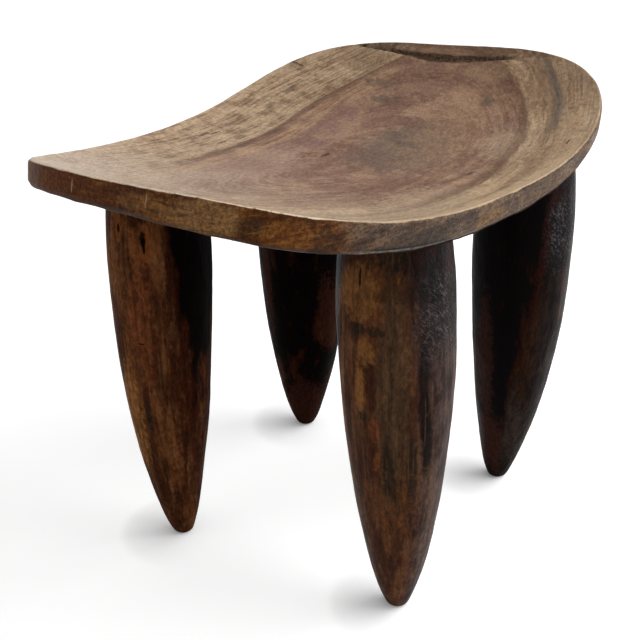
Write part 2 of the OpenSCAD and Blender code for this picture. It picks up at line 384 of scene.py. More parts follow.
def saddle_height(x, y):
    far = y > DIP_SHIFT
    s = np.abs(y - DIP_SHIFT) / np.where(far, HALF_LENGTH - DIP_SHIFT, HALF_LENGTH + DIP_SHIFT)
    rise = np.where(far, FAR_END_RISE, NEAR_END_RISE)
    across = x / HALF_WIDTH
    return (
        SIDE_HEIGHT
        + rise * ((1 - END_CURL) * s**2 + END_CURL * s**4)
        - RIGHT_SIDE_DROP * across
        + CORNER_LIFT * (across * s) ** 2
    )


def saddle_point(p):
    return np.stack([p[..., 0], p[..., 1], saddle_height(p[..., 0], p[..., 1])], -1)


def saddle_normal(p):
    step = 0.001
    slope_x = saddle_point(p + [step, 0]) - saddle_point(p - [step, 0])
    slope_y = saddle_point(p + [0, step]) - saddle_point(p - [0, step])
    return unit(np.cross(slope_x, slope_y))


def edge_thickness(p):
    lean = (p[..., 0] / HALF_WIDTH - p[..., 1] / HALF_LENGTH) / math.sqrt(2)
    return RIM_THICKNESS + RIM_UNEVENNESS * lean


def dish_drop(p):
    return DISH_DEPTH * (1 - np.minimum(1, reach(p[..., 0], p[..., 1])) ** DISH_FLATNESS)


def belly_drop(p):
    return BELLY_DEPTH * (1 - np.minimum(1, reach(p[..., 0], p[..., 1])) ** 3) ** 1.5


def dish_ring(p):
    return saddle_point(p) + (edge_lift(p) - dish_drop(p))[..., None] * [0, 0, 1]


def edge_lift(p):
    """The extra height of the top towards its near and right edges, for the rim's real thickness."""
    facing = np.cos(np.arctan2(p[..., 1], p[..., 0]) + math.radians(20))
    return EDGE_LIFT * ease(facing, 0.23, 0.70) * ease(reach(p[..., 0], p[..., 1]), 0.55, 1.0)


def underside_height(p):
    thickness = edge_thickness(p) / saddle_normal(p)[..., 2]
    return saddle_height(p[..., 0], p[..., 1]) - thickness - belly_drop(p)


def underside_ring(p):
    return np.stack([p[..., 0], p[..., 1], underside_height(p)], -1)


# Meshes


def grid_normals(rings):
    """Outward normals of rings of points that are closed along their second axis."""
    around = np.roll(rings, -1, 1) - np.roll(rings, 1, 1)
    along = np.gradient(rings, axis=0)
    return unit(np.cross(along, around) + 1e-12)


def new_object(name, data):
    obj = bpy.data.objects.new(name, data)
    bpy.context.scene.collection.objects.link(obj)
    return obj


def skin_object(name, rings, first, last, attributes, material):
    """A closed skin over rings of equal count, from the middle point first to the middle point last."""
    count, sides = rings.shape[:2]
    points = np.concatenate([rings.reshape(-1, 3), [first, last]])
    index = np.arange(count * sides).reshape(count, sides)
    upper, lower = index[:-1], index[1:]
    quads = np.stack([upper, lower, np.roll(lower, -1, 1), np.roll(upper, -1, 1)], -1).reshape(-1, 4)
    start = np.stack([np.full(sides, count * sides), index[0], np.roll(index[0], -1)], -1)
    end = np.stack([np.full(sides, count * sides + 1), np.roll(index[-1], -1), index[-1]], -1)
    mesh = bpy.data.meshes.new(name)
    mesh.from_pydata(points.tolist(), [], quads.tolist() + start.tolist() + end.tolist())
    mesh.shade_smooth()
    for label, values in attributes.items():
        kind, entry = ("FLOAT_VECTOR", "vector") if values.ndim == 3 else ("FLOAT", "value")
        flat = values.reshape(count * sides, -1)
        flat = np.concatenate([flat, flat[:1], flat[-1:]])
        field = mesh.attributes.new(label, kind, "POINT")
        field.data.foreach_set(entry, flat.astype(np.float32).ravel())
    mesh.materials.append(material)
    return new_object(name, mesh)


def left_border(y):
    """Where the brown heartwood ends on the left: straight along most of the seat, then bent inwards."""
    return LEFT_BORDER + LEFT_BEND * np.maximum(0, y - LEFT_BEND_START) ** 2.5


def growth_reach(x, y):
    """Ovals that the growth rings draw on the dish: about 1 where the brown heartwood ends."""
    dx, dy = x - RING_MIDDLE[0], y - RING_MIDDLE[1]
    near_half = RING_NEAR_HALF + RING_LEFT_EXTRA * ease(-dx, -0.10, 0.10)
    half_y = np.where(dy > 0, RING_FAR_HALF, near_half)
    n = RING_SQUARENESS
    oval = ((np.abs(dx) / RING_HALF_WIDTH) ** n + (np.abs(dy) / half_y) ** n) ** (1 / n)
    beside_border = LEFT_BORDER_RING * np.abs(dx) / (RING_MIDDLE[0] - left_border(y))
    return np.where(dx < 0, np.maximum(oval, beside_border), oval)


def grey_streak(x, y):
    """A grey streak along the far part of the right side, bent inwards at the far end."""
    line = 0.155 - 5.7 * np.maximum(0, y - 0.195) ** 2
    return ease(np.abs(x - line), 0.010, 0.001) * ease(y, 0.15, 0.22) * ease(x, 0.09, 0.13)


def pocket_masks(points):
    """The rough bark pocket under the far lip: how much it takes away, and how dark it is, partly the
    bark's own colour and partly painted shade on its wall under the lip.
    """
    x, y = points[..., 0], points[..., 1]
    ragged = 0.0009 * lumps(points, 0.016, 3) + 0.0008 * lumps(points, 0.005, 4)
    line = np.interp(x, *zip(*POCKET_LINE)) + ragged
    width = np.interp(x, *zip(*POCKET_WIDTH)) * (1 + 0.2 * lumps(points, 0.012, 6))
    ends = ease(x, -0.150, -0.100) * ease(x, 0.082, 0.062)
    inner = ease(y, line - 1.5 * width, line + 0.1 * width)
    outer = ease(y, line + 1.10 * width, line + 0.45 * width)
    patchy = 0.80 + 0.45 * lumps(points, 0.006, 5) - 0.35 * ease(-x, 0.050, 0.090)
    # darkest just under the lip: bark there, with painted shade on the pocket's wall
    dark = ease(y, line - 1.2 * width, line - 0.1 * width)
    dark = dark * ease(y, line + 1.25 * width, line + 0.95 * width)
    return inner * outer * ends, np.clip(dark * patchy, 0, 1) * ends


def seat_rings():
    """Rings from the middle of the dish, over the rim, to the middle of the underside.

    The zone of a ring is 0 in the dish, 1 on the rim's face and 2 on the underside.
    """
    outline = (free_outline(seat_directions(SEAT_SIDES)) - plan_middle) * plan_fit
    lift = edge_lift(outline)[:, None]
    up = saddle_normal(outline)
    edge = saddle_point(outline) + lift * up
    outward = unit(np.cross(np.roll(edge, -1, 0) - np.roll(edge, 1, 0), up))
    thickness = edge_thickness(outline)[:, None] + lift
    wear = 1.2 + 0.35 * lumps(edge, 0.045, 1) + 0.2 * lumps(edge, 0.012, 2)
    top_radius = np.minimum(WORN_EDGE_RADIUS, UPPER_EDGE_RADIUS * wear)[:, None]

    rings, zone = [], []
    for s in DISH_STEPS:
        rings.append(dish_ring(s * outline))
        zone.append(0)
    for turn in np.radians(np.linspace(0, 90, UPPER_EDGE_RINGS)):
        inset = top_radius * (1 - math.sin(turn))
        drop = (1 - math.sin(turn)) * dish_drop((edge - inset * outward)[:, :2])[:, None]
        rings.append(edge - inset * outward - (drop + top_radius * (1 - math.cos(turn))) * up)
        zone.append(math.sin(turn) ** 2)
    for part in np.linspace(0, 1, FACE_RINGS + 2)[1:-1]:
        depth = top_radius + part * (thickness - LOWER_EDGE_RADIUS - top_radius)
        rings.append(edge - part * RIM_UNDERCUT * outward - depth * up)
        zone.append(1)
    for turn in np.radians(np.linspace(0, 90, LOWER_EDGE_RINGS)):
        inset = RIM_UNDERCUT + LOWER_EDGE_RADIUS * (1 - math.cos(turn))
        depth = thickness - LOWER_EDGE_RADIUS * (1 - math.sin(turn))
        rings.append(edge - inset * outward - depth * up)
        zone.append(1 + math.sin(turn / 2) ** 2 * 2)
    for s in UNDERSIDE_STEPS:
        rings.append(underside_ring(s * outline))
        zone.append(2)
    return np.array(rings), np.array(zone)


def relief(surface, waves, cuts, small, fine=0):
    """How deep wear and blade went, from noises between 0 and 1."""
    wave_depth, cut_depth, small_depth, fine_depth, stand = RELIEF[surface]
    return wave_depth * waves + cut_depth * cuts + small_depth * small + fine_depth * fine - stand


def carve_seat(rings, zone):
    """The seat less what wear, blade and the bark pocket took, and how dark the pocket is at each point,
    partly bark and partly painted shade.
    """
    z_part = np.broadcast_to(zone[:, None], rings.shape[:2])
    top = ease(z_part, 0.9, 0.2)
    rim = ease(z_part, 0.3, 0.8) * ease(z_part, 1.9, 1.3)
    underside = ease(z_part, 1.2, 1.9)
    waves = 0.5 + 0.5 * lumps(rings, 0.070, 11)
    small = 0.5 + 0.5 * lumps(rings, 0.022, 12)
    cuts = 1 - facets(rings, 0.030, 13) ** 2
    fine = 0.5 + 0.5 * lumps(rings, 0.007, 14)
    depth = top * relief("top", waves, cuts, small, fine)
    depth += rim * relief("rim", waves, cuts, small, fine)
    depth += underside * relief("underside", waves, cuts, small, fine)
    pocket, bark_and_shade = pocket_masks(rings)
    rough = 0.0014 * lumps(rings, 0.010, 15) + 0.0010 * lumps(rings, 0.004, 16)
    depth += pocket * top * (POCKET_DEPTH + rough)
    return rings - depth[..., None] * grid_normals(rings), bark_and_shade * top


def seat_masks(rings, zone, bark_and_shade):
    """What the seat's material reads at each point: how the wood grew, and where each look lies."""
    x, y, z = rings[..., 0], rings[..., 1], rings[..., 2]
    warp = 0.035 * lumps(rings, 0.075, 21) + 0.012 * lumps(rings, 0.025, 22)
    ring = growth_reach(x, y) + warp
    bearing = np.arctan2(y - RING_MIDDLE[1], x - RING_MIDDLE[0])
    direction = np.arctan2(y, x)
    near_right = ease(np.cos(direction + math.radians(32)), 0.0, 0.70)
    return {
        "ring": ring,
        "lay": RING_HALF_WIDTH * np.stack([ring, np.cos(bearing), np.sin(bearing)], -1),
        "left_lay": np.stack([x - left_border(y), y, z], -1),
        "zone": np.broadcast_to(zone[:, None], x.shape),
        "bark_and_shade": bark_and_shade,
        # the upper edge band, worn and carrying a painted highlight, strongest on the near and right sides
        "rub_and_highlight": ease(reach(x, y), 0.935 - 0.055 * near_right, 0.962) * (0.04 + 0.96 * near_right),
        # the near-left corner, whose pale colour is a painted sheen
        "pale": ease(-x, -0.02, 0.16) * ease(-y, 0.04, 0.24),
        "near": ease(-y, 0.02, 0.16),
        "arcs": 0.30 + 0.70 * np.maximum(ease(x, 0.00, 0.08), ease(-y, 0.02, 0.12)),
        "left": ease(-x, 0.03, 0.09),
        "right": ease(x, 0.09, 0.15),
        "weathered": ease(np.cos(direction + math.radians(5)), 0.59, 0.67),
        "grey_streak": grey_streak(x, y),
    }


def make_seat(material):
    rings, zone = seat_rings()
    carved, bark_and_shade = carve_seat(rings, zone)
    masks = seat_masks(rings, zone, bark_and_shade)
    seat = skin_object("saddle_seat", carved, carved[0].mean(0), carved[-1].mean(0), masks, material)
    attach(seat, "root")
    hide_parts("seat")


def leg_radius(s, height, width):
    """The leg's half width at a share s of its height, from the rounded foot to the shouldered head."""
    foot = FOOT_WIDTH / 2
    widest = 1 - LEG_SHOULDER / height
    up = np.minimum(1, s / widest)
    above = np.maximum(0, (s - widest) / (1 - widest))
    low = np.maximum(0, 1 - s * height / FOOT_ROUNDING)
    swell = (1 - (1 - up) ** LEG_FULLNESS) ** LEG_SHARPNESS
    rounding = FOOT_ROUNDING * (1 - np.sqrt(1 - low**2))
    return foot + (width / 2 - foot) * swell - LEG_NECK * above**2 - rounding


def near_bearing(bearing, middle, half_width):
    """1 where the bearing in degrees is well within half_width of the middle, 0 outside."""
    away = np.abs((bearing - middle + 180) % 360 - 180)
    return ease(away, half_width + 16, half_width - 16)


def leg_rings(name):
    """Rings from inside the seat down to the foot, and the two middle points that close them."""
    side, end, width, side_overhang, end_overhang, foot_place = LEGS[name]
    along = end * (HALF_LENGTH - end_overhang - width / 2)
    across = seat_edge(side, along) - side * (side_overhang + width / 2)
    head = np.array([across, along])
    foot = head + foot_place
    outward = np.array([side, end]) / math.sqrt(2)
    height = float(underside_height(head))
    circle = np.stack([np.cos(LEG_ANGLES), np.sin(LEG_ANGLES)], -1)
    squared = (np.abs(circle) ** LEG_SQUARENESS).sum(-1, keepdims=True) ** (1 / LEG_SQUARENESS)
    section = circle / squared
    head_outline = head + leg_radius(np.float64(1), height, width) * section
    foot_top = FOOT_ROUNDING / height
    steps = np.concatenate([
        foot_top * np.linspace(0, 1, FOOT_RINGS + 1)[:-1] ** 2,
        foot_top + (1 - foot_top) * np.linspace(0, 1, LEG_RINGS) ** 1.1,
    ])
    rings = []
    for s in steps[::-1]:
        middle = foot + (head - foot) * s + outward * LEG_BOW * math.sqrt(2) * 4 * s * (1 - s)
        ring = middle + leg_radius(s, height, width) * section
        tilt = s**TILT_LATENESS * (underside_height(head_outline) - height)
        rings.append(np.concatenate([ring, (s * height + tilt)[:, None]], -1))
    rings[0][:, 2] += HEAD_OVERLAP
    for part in HEAD_STEPS:
        ring = head + part * (head_outline - head)
        rings.insert(0, np.concatenate([ring, (underside_height(ring) + HEAD_OVERLAP)[:, None]], -1))
    return np.array(rings), np.append(head, height), np.append(foot, 0)


def carve_leg(rings, heights, seed):
    """The leg less what the blade took, which is nothing inside the seat and under the foot."""
    waves = 0.5 + 0.5 * lumps(rings * [1, 1, 0.5], 0.055, seed)
    cuts = 1 - facets(rings * [1, 1, 0.32], 0.026, seed + 1) ** 2
    small = 0.5 + 0.5 * lumps(rings, 0.012, seed + 2)
    depth = ease(heights, 0.0, 0.05) * relief("leg", waves, cuts, small)
    depth[:len(HEAD_STEPS)] = 0
    depth[-1] = 0
    carved = rings - depth[..., None] * grid_normals(rings)
    carved[..., 2] = np.maximum(carved[..., 2], 0)
    return carved


def leg_masks(name, heights):
    """What a leg's material reads at each point: its height, and where each look lies."""
    bearing = np.broadcast_to(np.degrees(LEG_ANGLES), heights.shape)
    smoke_bearing, smoke_width, smoke_foot = LEG_STAINS[name][:3]
    widening = 0.68 + 0.32 * ease(heights, 0.25, 0.85)
    rising = smoke_foot + (1 - smoke_foot) * ease(heights, 0.50, 0.78)
    return {
        "height": heights,
        "smoke": near_bearing(bearing, smoke_bearing, smoke_width * widening) * rising,
        "right": near_bearing(bearing, 15, 57),
        "crinkled": near_bearing(bearing, -10, 36),
    }


def make_leg(name, material):
    rings, head, foot = leg_rings(name)
    heights = rings[..., 2] / head[2]
    carved = carve_leg(rings, heights, LEG_SEED + SEEDS_PER_LEG * list(LEGS).index(name))
    leg = skin_object(name.replace("leg", "tusk"), carved, head, foot, leg_masks(name, heights), material)
    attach(leg, "root")
    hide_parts(name)


# Materials


def colour(red, green, blue):
    """A colour as a screen shows it, from 0 to 255, in the renderer's linear values."""
    def linear(value):
        value /= 255
        return value / 12.92 if value <= 0.04045 else ((value + 0.055) / 1.055) ** 2.4
    return (linear(red), linear(green), linear(blue), 1)


def seen_rays(tree):
    """1 for rays that show something in the picture, 0 for rays that only bring light."""
    rays = tree.nodes.new("ShaderNodeLightPath")
    seen = rays.outputs["Is Camera Ray"]
    for kind in ("Is Glossy Ray", "Is Transmission Ray"):
        either = tree.nodes.new("ShaderNodeMath")
        either.operation = "MAXIMUM"
        tree.links.new(seen, either.inputs[0])
        tree.links.new(rays.outputs[kind], either.inputs[1])
        seen = either.outputs[0]
    return seen


class Paint:
    """A material's node tree, with short calls that make and link its nodes.

    A colour is three numbers from 0 to 255, or four in the renderer's linear values.
    """

    def __init__(self, name):
        self.material = bpy.data.materials.new(name)
        self.material.use_nodes = True
        self.tree = self.material.node_tree
        self.tree.nodes.clear()
        self.places = self.node("TexCoord").outputs["Object"]
        self.uneven = self.noise(self.places, 180, 2)

    def node(self, kind):
        return self.tree.nodes.new("ShaderNode" + kind)

    def link(self, socket, value):
        if isinstance(value, bpy.types.NodeSocket):
            self.tree.links.new(value, socket)
        elif isinstance(value, tuple) and len(value) == 3:
            socket.default_value = colour(*value)
        else:
            socket.default_value = value

    def math(self, operation, *values):
        node = self.node("Math")
        node.operation = operation
        for socket, value in zip(node.inputs, values):
            self.link(socket, value)
        return node.outputs[0]

    def read(self, name, output="Fac"):
        node = self.node("Attribute")
        node.attribute_name = name
        return node.outputs[output]

    def stretch(self, vector, scale, turn=(0, 0, 0)):
        """Turned and scaled coordinates: a bigger scale makes finer detail that way."""
        node = self.node("Mapping")
        node.vector_type = "TEXTURE"
        self.link(node.inputs["Vector"], vector)
        node.inputs["Scale"].default_value = tuple(1 / value for value in scale)
        node.inputs["Rotation"].default_value = turn
        return node.outputs[0]

    def noise(self, vector, scale=1.0, detail=3.0, rough=0.55, twist=0.0):
        """Noise around 0.5, nearly all of it between 0.3 and 0.7."""
        node = self.node("TexNoise")
        self.link(node.inputs["Vector"], vector)
        settings = {"Scale": scale, "Detail": detail, "Roughness": rough, "Distortion": twist}
        for name, value in settings.items():
            node.inputs[name].default_value = value
        return node.outputs["Fac"]

    def span(self, value, low, high, start=0.0, end=1.0):
        """Start below low, end above high, smooth between."""
        node = self.node("MapRange")
        node.interpolation_type = "SMOOTHSTEP"
        for socket, number in zip(node.inputs, (value, low, high, start, end)):
            self.link(socket, number)
        return node.outputs[0]

    def mix(self, part, first, second, way="MIX"):
        node = self.node("Mix")
        node.data_type = "RGBA"
        node.blend_type = way
        # of the node's sockets that share a name, 6, 7 and output 2 are the ones for colours
        self.link(node.inputs[0], part)
        self.link(node.inputs[6], first)
        self.link(node.inputs[7], second)
        return node.outputs[2]

    def tinge(self, base, pattern, low, high, strength, tint):
        """The base under a tint, which grows to this strength as the pattern goes from low to high."""
        return self.mix(self.span(pattern, low, high, 0, strength), base, tint)

    def grain(self, scale, detail, rough, twist=0.0):
        """Noise stretched by a scale along each axis of the object."""
        return self.noise(self.stretch(self.places, scale), 1, detail, rough, twist)

    def blend(self, part, first, second):
        """A number between two numbers."""
        return self.math("MULTIPLY_ADD", part, self.math("SUBTRACT", second, first), first)

    def times(self, first, *others):
        """The product of masks and numbers."""
        result = first
        for other in others:
            result = self.math("MULTIPLY", result, other)
        return result

    def total(self, first, *others):
        result = first
        for other in others:
            result = self.math("ADD", result, other)
        return result

    def spot(self, place, half_size, ragged=0.25):
        """1 inside an ellipsoid at this place, 0 outside, with an uneven border."""
        shift = self.node("VectorMath")
        shift.operation = "SUBTRACT"
        self.link(shift.inputs[0], self.places)
        shift.inputs[1].default_value = place
        scaled = self.stretch(shift.outputs[0], tuple(1 / size for size in half_size))
        length = self.node("VectorMath")
        length.operation = "LENGTH"
        self.link(length.inputs[0], scaled)
        far = self.math("MULTIPLY_ADD", self.uneven, 2 * ragged, length.outputs["Value"])
        return self.span(far, 1.0 + ragged, 0.55 + ragged)

    def stains(self, base, stains):
        """The base under stains, each with its middle, half size, raggedness, strength and colour."""
        for place, half_size, ragged, strength, tint in stains:
            base = self.mix(self.times(self.spot(place, half_size, ragged), strength), base, tint)
        return base

    def finish(self, base, roughness, height, gloss):
        """The material with this colour, roughness and relief, and gloss all over."""
        shader = self.node("BsdfPrincipled")
        self.link(shader.inputs["Base Color"], base)
        self.link(shader.inputs["Roughness"], roughness)
        shader.inputs["Specular IOR Level"].default_value = gloss
        bump = self.node("Bump")
        bump.inputs["Strength"].default_value = 1.0
        bump.inputs["Distance"].default_value = 1.0
        self.link(bump.inputs["Height"], height)
        self.link(shader.inputs["Normal"], bump.outputs[0])
        output = self.node("OutputMaterial")
        self.link(output.inputs[0], shader.outputs[0])
        return self.material


def seat_patterns(paint):
    """The patterns that the seat's colours share. The run is the fine grain along the wood."""
    left = paint.read("left")
    lay, left_lay = paint.read("lay", "Vector"), paint.read("left_lay", "Vector")
    lines = paint.noise(paint.stretch(lay, (440, 60, 60)), 1, 4, 0.75)
    left_lines = paint.noise(paint.stretch(left_lay, (300, 18, 20)), 1, 5, 0.75)
    return SimpleNamespace(
        ring=paint.read("ring"),
        zone=paint.read("zone"),
        near=paint.read("near"),
        weathered=paint.read("weathered"),
        left=left,
        run=paint.blend(left, lines, left_lines),
        across=paint.noise(paint.stretch(left_lay, (60, 260, 60)), 1, 3, 0.7),
        bands=paint.noise(paint.stretch(lay, (75, 6, 6)), 1, 3, 0.6),
        arcs=paint.noise(paint.stretch(lay, (130, 11, 11)), 1, 4, 0.65),
        clouds=paint.noise(paint.places, 15, 4, 0.6),
        blots=paint.noise(paint.places, 46, 4, 0.65),
        speck=paint.grain((360, 190, 360), 4, 0.8),
    )


def sapwood_colour(paint, wood):
    """Tan wood along both sides and at the far end, finely lined on the left."""
    sap = paint.mix(paint.span(wood.bands, 0.42, 0.58), (188, 160, 128), (150, 124, 98))
    patchy = paint.span(wood.blots, 0.38, 0.60, 0.30, 1.0)
    lined = paint.times(paint.span(wood.run, 0.38, 0.60), patchy)
    left_sap = paint.mix(lined, (187, 160, 131), (142, 115, 89))
    left_sap = paint.tinge(left_sap, wood.across, 0.50, 0.66, 0.30, (200, 175, 144))
    left_sap = paint.tinge(left_sap, wood.across, 0.46, 0.34, 0.30, (112, 88, 66))
    sap = paint.mix(wood.left, sap, left_sap)
    sap = paint.tinge(sap, wood.blots, 0.53, 0.64, 0.55, (118, 92, 70))
    cloudy_right = paint.times(paint.read("right"), paint.span(wood.clouds, 0.44, 0.58, 0, 0.4))
    sap = paint.mix(cloudy_right, sap, (144, 119, 96))
    return paint.stains(sap, SAP_STAINS_AND_LIP_SHADOW)


def heartwood_colour(paint, wood):
    """Mauve-brown wood inside the growth ovals, with dark and light growth arcs and a grey core."""
    blots, bands = wood.blots, wood.bands
    heart = paint.mix(paint.span(wood.clouds, 0.44, 0.56), (156, 124, 100), (126, 95, 80))
    heart = paint.tinge(heart, blots, 0.48, 0.58, 0.60, (128, 96, 84))
    heart = paint.tinge(heart, blots, 0.45, 0.36, 0.45, (160, 132, 108))
    heart = paint.tinge(heart, bands, 0.52, 0.64, 0.45, (108, 78, 60))
    heart = paint.tinge(heart, bands, 0.47, 0.36, 0.35, (163, 132, 107))
    figure = paint.times(paint.read("arcs"), paint.span(wood.ring, 0.30, 0.80, 0.30, 1.0))
    dark_arcs = paint.times(figure, paint.span(wood.arcs, 0.50, 0.62), 0.40)
    heart = paint.mix(dark_arcs, heart, (98, 72, 56))
    light_arcs = paint.times(figure, paint.span(wood.arcs, 0.47, 0.36), 0.30)
    heart = paint.mix(light_arcs, heart, (178, 148, 118))
    core = paint.spot((0.036, 0.098, 0.39), (0.062, 0.090, 0.2), 0.6)
    heart = paint.mix(paint.times(core, paint.span(blots, 0.36, 0.60, 0.55, 0.90)), heart, (104, 88, 77))
    mauve = paint.spot((-0.070, 0.100, 0.39), (0.036, 0.110, 0.2), 0.8)
    heart = paint.mix(paint.times(mauve, paint.span(blots, 0.40, 0.58, 0.1, 0.6)), heart, (134, 102, 94))
    return paint.stains(heart, HEART_STAINS)


def seat_top_colour(paint, wood):
    """Sapwood and heartwood, then their border, the grain's lines, weather and marks over both."""
    near, left, run, blots = wood.near, wood.left, wood.run, wood.blots
    # the border between the two woods is sharp at the far end and lost towards the near end
    ring = paint.math("MULTIPLY_ADD", blots, 0.07, wood.ring)
    outer = paint.math("MULTIPLY_ADD", near, -0.16, 1.115)
    inner = paint.math("MULTIPLY_ADD", near, -0.30, 1.075)
    inside = paint.span(ring, outer, inner)
    base = paint.mix(inside, sapwood_colour(paint, wood), heartwood_colour(paint, wood))
    base = paint.stains(base, RIGHT_STAINS)
    dark_line = paint.times(paint.span(ring, 0.97, 1.07), paint.span(ring, 1.125, 1.10))
    sharp = paint.math("MULTIPLY_ADD", near, -0.55, 0.55)
    base = paint.mix(paint.times(dark_line, sharp), base, (84, 58, 42))
    pale_band = paint.times(paint.span(ring, 0.80, 0.87), paint.span(ring, 1.03, 0.95), left)
    base = paint.mix(paint.times(pale_band, paint.span(run, 0.60, 0.40), 0.70), base, (182, 147, 112))

    # the lines show less in the pale near-left corner, which is a painted sheen, and in the heartwood
    clear = paint.math("MULTIPLY_ADD", paint.read("pale"), -0.6, 1.0)
    clear = paint.times(clear, paint.span(wood.ring, 0.90, 1.10, 0.60, 1.0))
    base = paint.mix(paint.times(paint.span(run, 0.51, 0.63), clear, 0.42), base, (92, 68, 52))
    base = paint.mix(paint.times(paint.span(run, 0.48, 0.36), clear, 0.34), base, (186, 156, 126))
    base = paint.mix(paint.times(paint.read("grey_streak"), 0.70), base, (92, 84, 77))
    # painted sheen: the near-left corner made pale pinkish grey
    pale = paint.times(paint.read("pale"), paint.span(blots, 0.62, 0.42, 0.55, 0.95))
    base = paint.mix(pale, base, (199, 183, 171))
    light_lines = paint.times(near, paint.span(run, 0.60, 0.40, 0.30, 0.65))
    base = paint.mix(light_lines, base, (187, 164, 140))
    base = paint.stains(base, FAR_STAINS)
    marks = [(place, half_size, 0.9, *SEAT_MARK_LOOKS[kind]) for kind, place, half_size in SEAT_MARKS]
    base = paint.stains(base, marks)
    return paint.mix(1.0, base, paint.span(wood.speck, 0.32, 0.68, 0.74, 1.26), "MULTIPLY")


def rim_colour(paint, wood):
    """Red-brown end grain at the ends, weathered grey-brown along the right side."""
    lines = paint.blend(wood.left, paint.grain((45, 45, 330), 4, 0.7), paint.grain((330, 60, 70), 4, 0.7))
    blots = paint.grain((24, 24, 90), 5, 0.7)
    face = paint.mix(paint.span(wood.clouds, 0.44, 0.56), (68, 34, 9), (112, 68, 30))
    grey_side = paint.mix(paint.span(blots, 0.42, 0.60), (74, 58, 48), (102, 83, 67))
    face = paint.mix(wood.weathered, face, grey_side)
    marks = [(place, half_size, 0.5, 0.85, RIM_COLOURS[kind]) for kind, place, half_size in RIM_MARKS]
    face = paint.stains(face, marks)
    fresh = paint.math("MULTIPLY_ADD", wood.weathered, -0.8, 1.0)
    face = paint.mix(paint.times(fresh, paint.span(blots, 0.54, 0.64, 0, 0.45)), face, (88, 42, 12))
    face = paint.mix(paint.times(fresh, paint.span(blots, 0.46, 0.36, 0, 0.55)), face, (42, 23, 11))
    face = paint.tinge(face, lines, 0.53, 0.65, 0.30, (146, 102, 54))
    face = paint.tinge(face, lines, 0.47, 0.35, 0.50, (36, 20, 9))
    face = paint.mix(1.0, face, paint.span(wood.speck, 0.34, 0.66, 0.50, 1.50), "MULTIPLY")
    return paint.stains(face, [(place, SCRATCH_SIZE, 0.3, 0.6, SCRATCH_COLOUR) for place in RIM_SCRATCHES])


def underneath(paint, wood, base):
    """The base with a dark underside and lower edge, and painted shade on the rim above the near right
    leg.
    """
    zone, clouds = wood.zone, wood.clouds
    under = paint.mix(paint.span(clouds, 0.35, 0.65), (40, 25, 16), (62, 42, 29))
    base = paint.mix(paint.span(zone, 1.45, 1.9), base, under)
    lower_edge = paint.times(paint.span(zone, 1.02, 1.25), paint.span(zone, 1.95, 1.6))
    lower_edge = paint.times(lower_edge, paint.span(wood.blots, 0.35, 0.6, 0.2, 0.6))
    base = paint.mix(lower_edge, base, (50, 41, 37))
    # painted shade: the rim's face and lower edge above the near right leg, darkened to near black
    rim_shade_over_leg = paint.spot((0.168, -0.158, 0.383), (0.040, 0.085, 0.022), 0.3)
    return paint.mix(paint.times(rim_shade_over_leg, paint.span(zone, 0.95, 1.04), 0.95), base, (12, 9, 7))


def worn_and_highlit_edges(paint, wood, base, ragged_zone):
    """The base with the gritty upper edge, worn pale along the grain and with a painted highlight on the
    near and right sides, and a painted pale grey highlight along the lower edge of the weathered side.
    """
    rub_and_highlight = paint.read("rub_and_highlight")
    grit = paint.noise(paint.places, 430, 2, 0.8)
    gritty = paint.times(rub_and_highlight, paint.span(wood.zone, 1.0, 0.3))
    base = paint.mix(gritty, base, paint.span(grit, 0.36, 0.64, 0.62, 1.38), "MULTIPLY")
    strokes = paint.grain((330, 200, 330), 3, 0.8)
    # pale upper edge: partly wear, partly a painted highlight, nearly white and strongest on the near and
    # right sides
    rubbed_and_highlit = paint.times(rub_and_highlight, paint.span(ragged_zone, 0.80, 0.55), paint.span(strokes, 0.32, 0.50))
    pale = paint.mix(wood.weathered, (240, 218, 188), (196, 170, 138))
    base = paint.mix(paint.times(rubbed_and_highlit, 0.85), base, pale)
    # painted highlight: a pale grey line along the lower edge of the weathered right side
    grey = paint.times(paint.span(wood.zone, 1.05, 1.3), paint.span(wood.zone, 1.8, 1.4), wood.weathered)
    grey = paint.times(grey, paint.span(strokes, 0.40, 0.55, 0.2, 0.7))
    return paint.mix(grey, base, (150, 138, 124))


def seat_material():
    paint = Paint("worn_seat_wood_with_painted_light")
    wood = seat_patterns(paint)
    ragged_zone = paint.total(wood.zone, paint.math("MULTIPLY_ADD", wood.blots, 0.8, -0.4))
    on_face = paint.span(ragged_zone, 0.50, 0.72)
    base = paint.mix(on_face, seat_top_colour(paint, wood), rim_colour(paint, wood))
    base = underneath(paint, wood, base)
    base = worn_and_highlit_edges(paint, wood, base, ragged_zone)
    # the pocket's dark colour: bark, and painted shade on its wall under the far lip
    bark_and_shade = paint.mix(paint.span(wood.speck, 0.35, 0.65), (42, 32, 25), (104, 84, 67))
    base = paint.tinge(base, paint.read("bark_and_shade"), 0.15, 0.75, 0.92, bark_and_shade)
    speck_depth = paint.math("MULTIPLY_ADD", on_face, 0.0008, 0.0004)
    height = paint.total(
        paint.times(wood.run, 0.0004),
        paint.times(wood.speck, speck_depth),
        paint.times(wood.blots, 0.0006),
    )
    roughness = paint.span(wood.clouds, 0.3, 0.7, 0.40, 0.56)
    return paint.finish(base, roughness, height, gloss=0.05)


def leg_marks(name, kinds):
    """A leg's marks of these kinds, as stains."""
    marks = [mark for mark in LEG_MARKS[name] if mark[0] in kinds]
    return [(place, half_size, 0.5, *MARK_LOOKS[kind]) for kind, place, half_size in marks]


